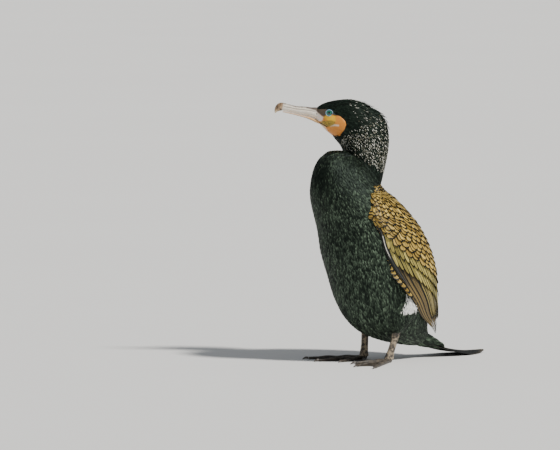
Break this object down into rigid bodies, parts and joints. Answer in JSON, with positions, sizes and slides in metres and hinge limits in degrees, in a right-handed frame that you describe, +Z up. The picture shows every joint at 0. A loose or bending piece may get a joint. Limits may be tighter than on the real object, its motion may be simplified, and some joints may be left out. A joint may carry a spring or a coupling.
{
  "type": "great cormorant",
  "caption": "Life-size standing great cormorant with folded wings, hooked bill, webbed feet and its head turned in profile.",
  "frame": {"origin": "centre of the bounding box on the floor that the feet stand on", "axes": "+Z up along the upright body, -Y where the breast faces, +X to the bird's left"},
  "size_m": [0.2006, 0.3906, 0.459],
  "materials": {
    "body_plumage": "oily satin feathers",
    "head_plumage": "satin feathers with white plumes",
    "thigh_plumage": "soft feathers with a white patch",
    "wing_plumage": "bronze feathers with black edges",
    "tail_plumage": "stiff matt feathers with pale shafts",
    "bare_skin": "moist wrinkled skin",
    "eyelid": "beaded skin",
    "eye": "wet, clear",
    "bill_horn": "satin horn",
    "bill_lower_horn": "satin horn",
    "leg_skin": "scaly skin",
    "claw": "satin horn"
  },
  "bodies": {
    "root": {"bill_lower": "bill_lower_horn", "bill_upper": "bill_horn", "claw_left_1": "claw", "claw_left_2": "claw", "claw_left_3": "claw", "claw_left_4": "claw", "claw_right_1": "claw", "claw_right_2": "claw", "claw_right_3": "claw", "claw_right_4": "claw", "eye_left": "eye", "eye_right": "eye", "eyelid_left": "eyelid", "eyelid_right": "eyelid", "face": "bare_skin", "foot_left": "leg_skin", "foot_right": "leg_skin", "head": "head_plumage", "leg_left": "leg_skin", "leg_right": "leg_skin", "neck_fold": "body_plumage", "neck_upper": "head_plumage", "tail": "tail_plumage", "thigh_left": "thigh_plumage", "thigh_right": "thigh_plumage", "torso": "body_plumage", "wing_left": "wing_plumage", "wing_right": "wing_plumage"}
  },
  "joints": []
}
